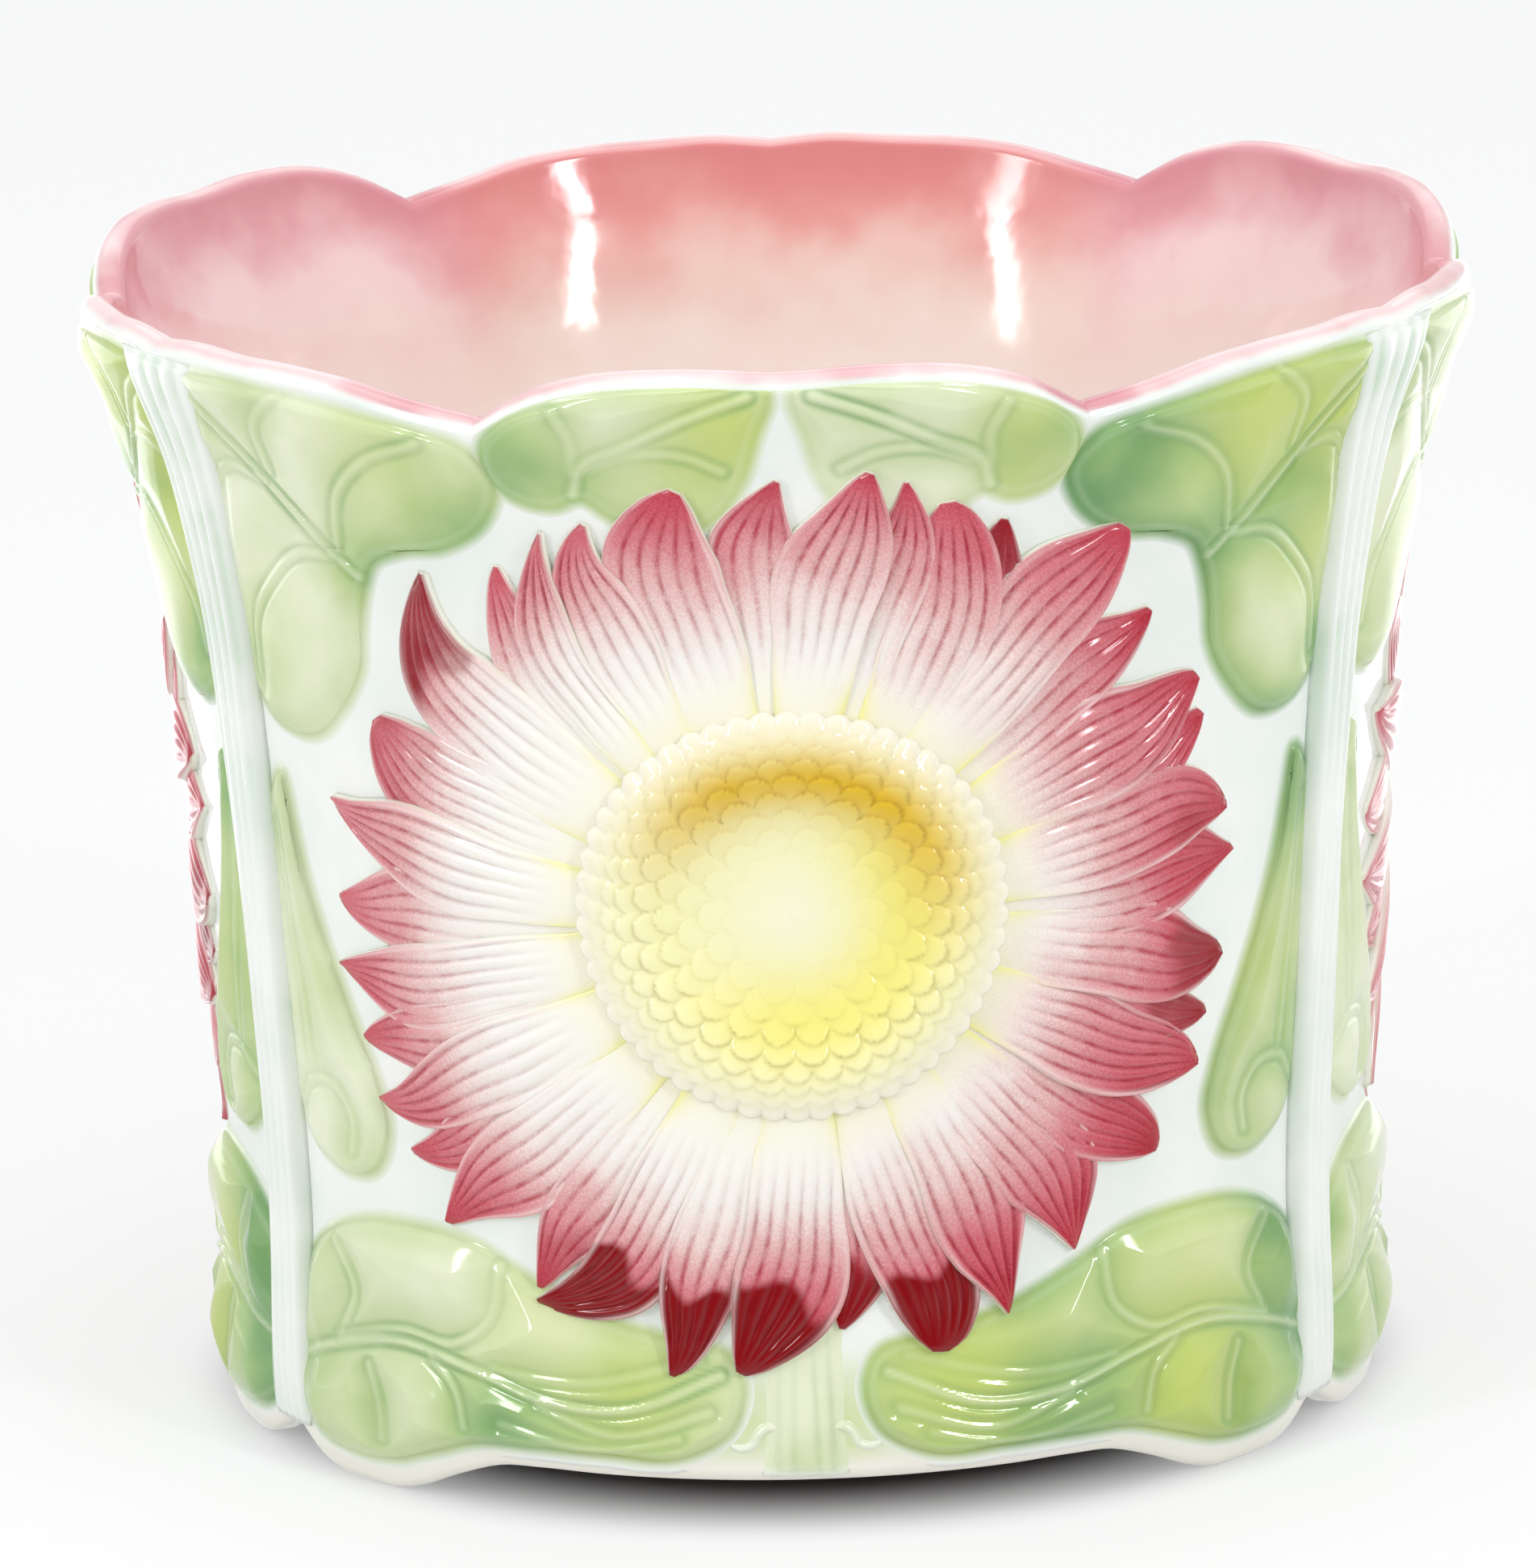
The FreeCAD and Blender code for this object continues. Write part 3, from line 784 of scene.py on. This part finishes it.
def leaf(name, side, outline, heart, veins, proud, puff, base, washes, suns):
    """A leaf or pod on the right, side 1, or left of the front face, puffed up between its veins."""
    # Rings of places from the heart out to the edge, closer together near it.
    edge = outline_through(outline)
    middle = face_place(*heart)
    size = np.linalg.norm(edge - middle, axis=1).max()
    out = np.linspace(0, 1, int(1.25 * size / leaf_step))[:, None, None]
    flat = middle + (edge - middle)[None] * (0.6 * out + 0.4 * np.sin(out * math.pi / 2))
    inset = nearest(flat, edge)
    inset[-1] = 0
    # A film of glaze runs out past the edge, on to the wall.
    run = np.roll(edge[:-1], -1, 0) - np.roll(edge[:-1], 1, 0)
    run = np.concatenate([run, run[:1]])
    run = run / np.linalg.norm(run, axis=1)[:, None]
    outward = np.stack([run[:, 1], -run[:, 0]], -1)
    outward *= np.sign(np.sum(outward * (edge - middle)))
    film = np.array(film_steps)[:, None, None]
    flat = np.concatenate([flat, edge + outward * film])
    inset = np.concatenate([inset, -film[..., 0] + 0 * inset[:1]])
    vein_gap = np.full(inset.shape, np.inf)
    ridge = np.zeros(inset.shape)
    groove = np.zeros(inset.shape)
    for weight, points in veins:
        gap = nearest(flat, line_through(points))
        ridge = np.maximum(ridge, weight * np.exp(-(gap / vein_width) ** 2))
        groove = np.maximum(groove, weight * np.exp(-((gap - groove_gap) / vein_width) ** 2))
        vein_gap = np.minimum(vein_gap, gap)
    depth = np.maximum(inset, 0)
    past_edge = np.maximum(-inset, 0)
    rounding = np.sqrt(1 - (1 - np.clip(depth / edge_round, 0, 1)) ** 2)
    pillow = 1 - np.exp(-(np.minimum(1.5 * depth, vein_gap) / pillow_size) ** 2)
    rise = rounding * (proud * flat_share + puff * pillow + vein_rise * ridge - groove_depth * groove)
    rise += film_rise * np.exp(-past_edge ** 1.3) + 0.08 * (1 - past_edge)
    # It lies lower where it goes under the petals, and beside the pillar.
    from_flower = np.linalg.norm(flat - np.array([0, flower_height]), axis=2)
    by_pillar = ease(*low_by_pillar, np.degrees(flat[..., 0] / wrap_radius))
    rise *= 1 - 0.5 * ease(*low_by_petals, from_flower) - 0.35 * ease(*lower_under_petals, from_flower)
    rise *= 1 - by_pillar * (0.6 + 0.2 * ease(44, 56, flat[..., 1]))
    blue = base + (0.12 + 0.35 * max(base, 0)) * (1 - pillow) - 0.08 * pillow
    yellow = np.zeros(inset.shape)
    for spots, field in ((washes, blue), (suns, yellow)):
        for angle, height, spread, strength in spots:
            gap = np.linalg.norm(flat - face_place(angle, height), axis=2)
            field += strength * np.exp(-(gap / spread) ** 2)
    # Two more rows close it behind, inside the wall.
    flat = np.concatenate([flat, flat[-1:], 0 * flat[-1:] + middle])
    rise = np.concatenate([rise, rise[:2] * 0 - leaf_sunk])
    from_middle = np.abs(np.degrees(flat[..., 0] / wrap_radius))
    lowest = foot_height(from_middle) + foot_margin
    highest = rim_height(np.minimum(from_middle, corner_angle)) - rim_margin
    flat[..., 1] = np.clip(flat[..., 1], lowest, highest)
    places = wall_point(np.degrees(side * flat[..., 0] / wrap_radius), flat[..., 1], rise)
    # The masks: vein_groove lays painted shade beside the veins, vein_ridge and leaf_edge lay painted
    # highlights.
    masks = {
        "blue_wash": np.clip(blue, 0, 1),
        "sun_wash": np.clip(yellow, 0, 1),
        "vein_ridge": ridge,
        "vein_groove": groove,
        "leaf_edge": np.exp(-((inset - 1.1) / 0.5) ** 2),
        "green_film": ease(-2.3, 0.1, inset),
    }
    masks = {key: np.concatenate([values, values[-1:], values[-1:]]) for key, values in masks.items()}
    return sheet(name, places, masks)


leaf_greens = (
    (0, tint(230, 236, 208)), (0.25, tint(208, 221, 176)), (0.5, tint(183, 205, 144)),
    (0.75, tint(152, 187, 124)), (1, tint(114, 160, 104)),
)
sun_green = tint(197, 211, 108)
groove_shade_green = tint(128, 170, 108)
vein_highlight_green = tint(224, 235, 200)
edge_highlight_green = tint(232, 240, 218)


def leaf_paint(tree, skin):
    """Runny greens, painted shade beside veins, painted highlights on veins and edges, thinning out into the
    ground.
    """
    green = ramp(tree, plus(tree, mask(tree, "blue_wash"), swing(tree, skin["Cloud"], 0.22)), leaf_greens)
    sunny = wash(tree, times(tree, mask(tree, "sun_wash"), 0.85), green, sun_green)
    # Painted shade in the grooves beside each vein.
    groove = times(tree, mask(tree, "vein_groove"), patchy(tree, skin, 0.15, 0.7))
    groove_shaded = wash(tree, groove, sunny, groove_shade_green)
    # Painted highlight along each vein's ridge.
    vein_highlighted = wash(tree, times(tree, mask(tree, "vein_ridge"), 0.5), groove_shaded, vein_highlight_green)
    # Painted highlight along the leaf's rounded edge.
    leaf_edge_highlighted = wash(tree, times(tree, mask(tree, "leaf_edge"), 0.12), vein_highlighted, edge_highlight_green)
    return wash(tree, mask(tree, "green_film"), ground_paint(tree, skin), leaf_edge_highlighted)


leaf_glaze = glaze("leaf_glaze", leaf_paint)

# The outlines of the four, and their veins, each vein with its weight.
corner_outline = (
    (58.6, 188), (52, 190.5), (46, 190), (40, 189), (35, 187.5), (30, 185.8), (26, 183.5), (24, 178),
    (25.5, 171), (30, 165.5), (34.5, 164), (37.6, 161.5), (39, 157), (40.2, 150), (41, 143), (43.7, 135.5),
    (47.7, 129.5), (53.3, 130), (57, 136), (58.3, 146), (58.7, 161), (58.6, 174),
)
corner_veins = (
    (1, ((57.5, 189), (52.5, 182), (48, 174), (43, 165), (39, 159))),
    (0.6, ((47, 175.5), (47, 183), (43.2, 190))),
    (0.7, ((40.8, 163), (39.5, 173), (35.5, 180), (30, 184))),
    (0.6, ((48, 173.5), (52, 175), (57, 170))),
    (0.7, ((41.5, 162), (45.5, 161.5), (50.2, 155.5), (54, 147), (55, 138))),
)
crown_outline = (
    (1, 194.5), (8, 195.2), (15, 193.7), (19, 191.4), (22.5, 188), (24.3, 184), (24, 178), (21.5, 174.5),
    (19, 174), (16.8, 175.6), (14, 172.4), (10, 170.2), (6, 172), (3.5, 178), (2, 187),
)
crown_veins = (
    (1, ((2.5, 194), (7, 190.5), (12, 185.5), (16.3, 181), (17.2, 176.5))),
    (0.6, ((17, 180), (11.4, 184), (7.5, 183.5), (4.8, 181))),
    (0.6, ((17, 180.5), (16.6, 186), (17.8, 191))),
)
pod_outline = (
    (54.2, 121), (53.2, 114), (52, 104), (49.8, 93), (46.8, 81), (44, 70), (43, 62), (45, 55), (49, 53),
    (54, 56.5), (57, 64), (57.8, 78), (58.3, 93), (58, 107), (56.6, 117),
)
pod_veins = (
    (0.55, ((55.5, 64), (52.5, 68.5), (49, 68), (47, 63), (47.5, 57.5))),
    (0.35, ((55.5, 112), (54.5, 96), (53.2, 82), (52.5, 70))),
)
foot_leaf_outline = (
    (57.8, 27), (56.5, 36), (52.5, 42), (47, 45.5), (40, 46.5), (33, 45), (27.5, 40.5), (20, 35),
    (12, 31.5), (7, 29), (5.8, 24), (7, 17), (11, 12.6), (20, 12), (27, 12), (33, 11.4), (38, 8.6),
    (43, 5.8), (50, 5.2), (55.5, 7.4), (58.2, 11.5), (58.4, 19),
)
foot_leaf_veins = (
    (1, ((56.5, 19.5), (50, 23.5), (42, 26.5), (33, 24), (25, 20.2), (17.5, 19.8), (8, 26))),
    (0.7, ((50.5, 24.5), (41, 28.5), (35, 28), (31, 33), (30.2, 42))),
    (0.6, ((46, 21), (44.5, 15), (44, 9))),
    (0.6, ((38, 25), (35, 20), (34, 14))),
    (0.6, ((26, 19.5), (18, 15.5), (9, 20))),
    (0.5, ((51, 41), (48, 33), (50, 25.5))),
    (0.45, ((31, 24.5), (21, 24), (10, 28.5))),
    (0.45, ((30, 15.5), (20, 12.8), (12, 15.5))),
)

# Each one's outline, heart, veins, how proud and how puffed it is. Then its glaze on the right, 1, and on
# the left: a base, blue-green washes and yellow suns, each by angle, height, spread and strength.
relief = (
    ("corner_leaf", corner_outline, (45, 163), corner_veins, 1.8, 1.5, {
        1: (0.4, (
            (28, 174, 11, 0.5), (38, 163, 8, 0.35), (57, 172, 13, 0.3), (57, 140, 6, 0.35), (49, 131, 6, 0.3),
            (52, 172, 9, 0.6), (50, 150, 11, -0.35),
        ), ((50, 152, 10, 0.4), (42, 183, 13, 1), (55, 180, 13, 1), (57, 160, 10, 0.6))),
        -1: (0.04, (
            (28, 172, 11, 0.55), (38, 160, 9, 0.5), (57, 176, 9, 0.35), (52, 133, 11, 0.32),
            (47, 187, 7, 0.28), (34, 170, 8, 0.12), (47, 145, 8, 0.1), (39, 186, 6, -0.12),
            (49, 166, 11, -0.3),
        ), ((35, 182, 10, 0.4), (51, 150, 12, 0.25))),
    }),
    ("crown_leaf", crown_outline, (13, 184), crown_veins, 1.6, 1.1, {
        1: (0.02, ((21, 183, 9, 0.62), (12, 190, 8, 0.05)), ((20, 176, 7, 0.4), (19, 189, 7, 0.4))),
        -1: (0.15, ((22, 182, 8, 0.65), (14, 175, 7, 0.2)), ((4, 189, 9, 0.9), (8, 176, 8, 0.4))),
    }),
    ("pod", pod_outline, (51, 82), pod_veins, 2.2, 1.4, {
        1: (0.3, (
            (57, 115, 10, 0.35), (58, 75, 10, 0.2), (51, 85, 8, 0.06), (49, 61, 8, -0.15),
        ), ((50, 85, 12, 0.35),)),
        -1: (0.04, ((54, 112, 9, 0.08), (46, 57, 8, 0.2), (52, 85, 8, 0.06)), ((53, 85, 10, 0.15),)),
    }),
    ("foot_leaf", foot_leaf_outline, (37, 25), foot_leaf_veins, 2.4, 2.1, {
        1: (0.4, (
            (55, 34, 10, 0.7), (56, 15, 9, 0.4), (22, 15, 12, 0.35), (43, 12, 9, 0.55), (33, 17, 8, 0.3),
            (42, 37, 11, -0.2),
        ), ((40, 36, 16, 0.6), (15, 24, 15, 0.9), (40, 14, 14, 0.95))),
        -1: (0.12, (
            (57, 34, 7, 0.5), (55, 13, 10, 0.5), (46, 12, 8, 0.3), (30, 16, 10, 0.6), (18, 17, 10, 0.35),
            (37, 37, 11, -0.06),
        ), ((27, 34, 10, 0.35), (16, 23, 13, 0.7))),
    }),
)
for part, outline, heart, veins, proud, puff, glazing in relief:
    for side_name, side in (("right", 1), ("left", -1)):
        piece = leaf(f"{part}_{side_name}", side, outline, heart, veins, proud, puff, *glazing[side])
        on_every_face(piece, f"glazed_{part}_{side_name}", leaf_glaze, "green_glaze", f"{part}_{side_name}")

# The stem is a low rib of clay luted on up the middle of the skirt, with a line down each edge. It goes
# in under the petals, and its pale green glaze thins out towards its foot.
stem_outline = (
    (-2.9, 10.4), (0, 10), (2.9, 10.4), (2.8, 14), (2.7, 18), (2.6, 30), (2.3, 36), (0, 37), (-2.3, 36),
    (-2.6, 30), (-2.7, 18), (-2.8, 14),
)
stem_veins = ((0.45, ((-1.9, 8), (-1.7, 22), (-1.5, 37))), (0.45, ((1.9, 8), (1.7, 22), (1.5, 37))))
stem_heart = (0, 24)
stem_foot_wash = (0, 11, 6, 0.25)
stem_fade = (8, 11.5)
stem = leaf("stem", 1, stem_outline, stem_heart, stem_veins, 0.7, 0.3, -0.12, (stem_foot_wash,), ())
stem_film = [ease(*stem_fade, vertex.co.z / mm) for vertex in stem.data.vertices]
stem.data.attributes["green_film"].data.foreach_set("value", stem_film)
on_every_face(stem, "glazed_stem", leaf_glaze, "green_glaze", "stem")

# Beside the stem's foot lie two curls, low round trails of slip on the skirt. The leaves' green has run
# over them and thins out towards their ends.
curl_line = ((2.3, 17), (3.7, 17.1), (4.6, 15.8), (5.1, 14.2), (6.1, 13.6), (7.3, 14.2))
curl_half_width = 1.5
curl_rise = 0.85
curl_sunk = 0.08
curl_columns = 11


def foot_curl(side):
    """The curl on the right, side 1, or left of the stem."""
    line = line_through(curl_line)
    share = np.linspace(0, 1, len(line))[:, None]
    heading = np.gradient(line, axis=0)
    heading /= np.linalg.norm(heading, axis=1)[:, None]
    across = np.stack([heading[:, 1], -heading[:, 0]], -1)
    taper = np.sqrt(np.clip(1 - (2 * share - 1) ** 6, 0, 1)) * (1 - 0.4 * share)
    top = np.linspace(-1, 1, curl_columns)
    s = np.concatenate([top, [0, -1]])[None, :]
    crown = np.concatenate([0.5 + 0.5 * np.cos(math.pi * top), [-0.2, 0]])[None, :]
    flat = line[:, None, :] + across[:, None, :] * (curl_half_width * taper * s)[..., None]
    angle = np.degrees(side * flat[..., 0] / wrap_radius)
    places = wall_point(angle, flat[..., 1], curl_rise * taper * crown - curl_sunk)
    masks = {"green_film": 1 - 0.6 * share, "blue_wash": 0.5 * (1 - share) * s ** 2}
    return sheet("foot_curl", places, masks)


foot_curls = joined("foot_curls", [foot_curl(1), foot_curl(-1)])
on_every_face(foot_curls, "foot_curls", leaf_glaze, "green_glaze")

# The studio: a wide pale floor, an even white sky, a soft box overhead and two tall narrow boxes in
# front, to the left and the right, which leave the upright glints on the glaze.
floor_size = 12
matt_white = (0.8, 0.8, 0.8, 1)
shadow_grey = (0.36, 0.36, 0.36, 1)
# A painted shadow under the pot: its grey, and the radii from the axis over which it fades out.
painted_shadow_grey = (0.06, 0.06, 0.06, 1)
floor_white = tint(250, 251, 252)
floor_glow = 0.62
painted_shadow_radii = (0.074, 0.11)


def mixed(tree, share, first, second):
    """Two finishes in one, by a share."""
    return node(tree, "ShaderNodeMixShader", {"Fac": share, 1: first, 2: second}).outputs["Shader"]


bpy.ops.object.select_all(action="DESELECT")
bpy.ops.mesh.primitive_plane_add(size=floor_size)
studio_floor = bpy.context.object
studio_floor.name = "studio_floor"
floor_paint = bpy.data.materials.new("studio_floor")
floor_paint.use_nodes = True
tree = floor_paint.node_tree
tree.nodes.clear()
matt = node(tree, "ShaderNodeBsdfDiffuse", {"Color": matt_white}).outputs["BSDF"]
shadow_catch = node(tree, "ShaderNodeBsdfDiffuse", {"Color": shadow_grey}).outputs["BSDF"]
glow = node(tree, "ShaderNodeEmission", {"Color": floor_white, "Strength": floor_glow}).outputs["Emission"]
lit = node(tree, "ShaderNodeAddShader", {0: shadow_catch, 1: glow}).outputs["Shader"]
floor_at = node(tree, "ShaderNodeTexCoord").outputs["Object"]
from_axis = node(tree, "ShaderNodeVectorMath", {0: floor_at}, operation="LENGTH").outputs["Value"]
# Seen from the camera, the floor is painted dark close under the pot: a painted shadow.
painted_pot_shadow = node(tree, "ShaderNodeBsdfDiffuse", {"Color": painted_shadow_grey}).outputs["BSDF"]
shaded = mixed(tree, stretch(tree, from_axis, *painted_shadow_radii, 0, 1), painted_pot_shadow, lit)
floor_back = node(tree, "ShaderNodeSeparateXYZ", {0: floor_at}).outputs["Y"]
near_side = stretch(tree, floor_back, -0.22, -0.06, 0.12, 0.9)
far_side = stretch(tree, floor_back, 0.18, 0.4, 1, 2.2)
bright = times(tree, near_side, far_side)
mirrored = node(tree, "ShaderNodeEmission", {"Strength": bright}).outputs["Emission"]
seen = node(tree, "ShaderNodeLightPath").outputs
unseen = mixed(tree, seen["Is Glossy Ray"], matt, mirrored)
surface = mixed(tree, seen["Is Camera Ray"], unseen, shaded)
node(tree, "ShaderNodeOutputMaterial", {"Surface": surface})
studio_floor.data.materials.append(floor_paint)

sky = bpy.data.worlds.new("studio_sky")
sky.use_nodes = True
tree = sky.node_tree
sky_at = node(tree, "ShaderNodeTexCoord").outputs["Generated"]
sky_way = node(tree, "ShaderNodeSeparateXYZ", {0: sky_at}).outputs
mirrored = stretch(tree, sky_way["Y"], -0.85, -0.15, 0.25, 1)
sideways = times(tree, sky_way["X"], sky_way["X"])
lighting = stretch(tree, sideways, 0.2, 1, 0.58, 0.85)
glossy = node(tree, "ShaderNodeLightPath").outputs["Is Glossy Ray"]
strength = node(tree, "ShaderNodeMix", {0: glossy, 2: lighting, 3: mirrored}).outputs[0]
tree.nodes["Background"].inputs["Color"].default_value = (1, 1, 1, 1)
tree.links.new(strength, tree.nodes["Background"].inputs["Strength"])
bpy.context.scene.world = sky


def soft_box(name, width, height, place, aim, power):
    """A flat lamp that faces a point."""
    lamp = bpy.data.lights.new(name, "AREA")
    lamp.shape = "RECTANGLE"
    lamp.size = width
    lamp.size_y = height
    lamp.energy = power
    holder = bpy.data.objects.new(name, lamp)
    bpy.context.scene.collection.objects.link(holder)
    to_aim = Vector([end - start for start, end in zip(place, aim)])
    holder.rotation_euler = to_aim.to_track_quat("-Z", "Y").to_euler()
    holder.location = place


soft_box("overhead_box", 1.6, 1.6, (0, -0.3, 1.9), aim=(0, 0, 0.1), power=12)
soft_box("background_box", 2.4, 1.6, (0, 2, 1.7), aim=(0, 2, 0), power=9)
soft_box("right_strip", 0.11, 0.62, (0.95, -1.15, 0.84), aim=(0, 0, 0.15), power=6)
soft_box("left_strip", 0.11, 0.82, (-1.07, -0.97, 0.74), aim=(0, 0, 0.15), power=5.5)

# The camera stands off in front with a long lens, above the rim. It looks down into the pot a little
# and leans very slightly to one side, as the photo does.
camera_place = (-0.00339, -1.7, 0.51532)
camera_down = 13.667
camera_lean = -1.513
camera_data = bpy.data.cameras.new("camera")
camera_data.sensor_fit = "HORIZONTAL"
camera_data.sensor_width = 36
camera_data.lens = 238.87
camera_data.clip_end = 20
camera = bpy.data.objects.new("camera", camera_data)
tilt_down = Matrix.Rotation(math.radians(90 - camera_down), 4, "X")
roll = Matrix.Rotation(math.radians(camera_lean), 4, "Z")
camera.matrix_world = Matrix.Translation(camera_place) @ tilt_down @ roll
bpy.context.scene.collection.objects.link(camera)
bpy.context.scene.camera = camera
bpy.context.scene.view_settings.view_transform = "Standard"
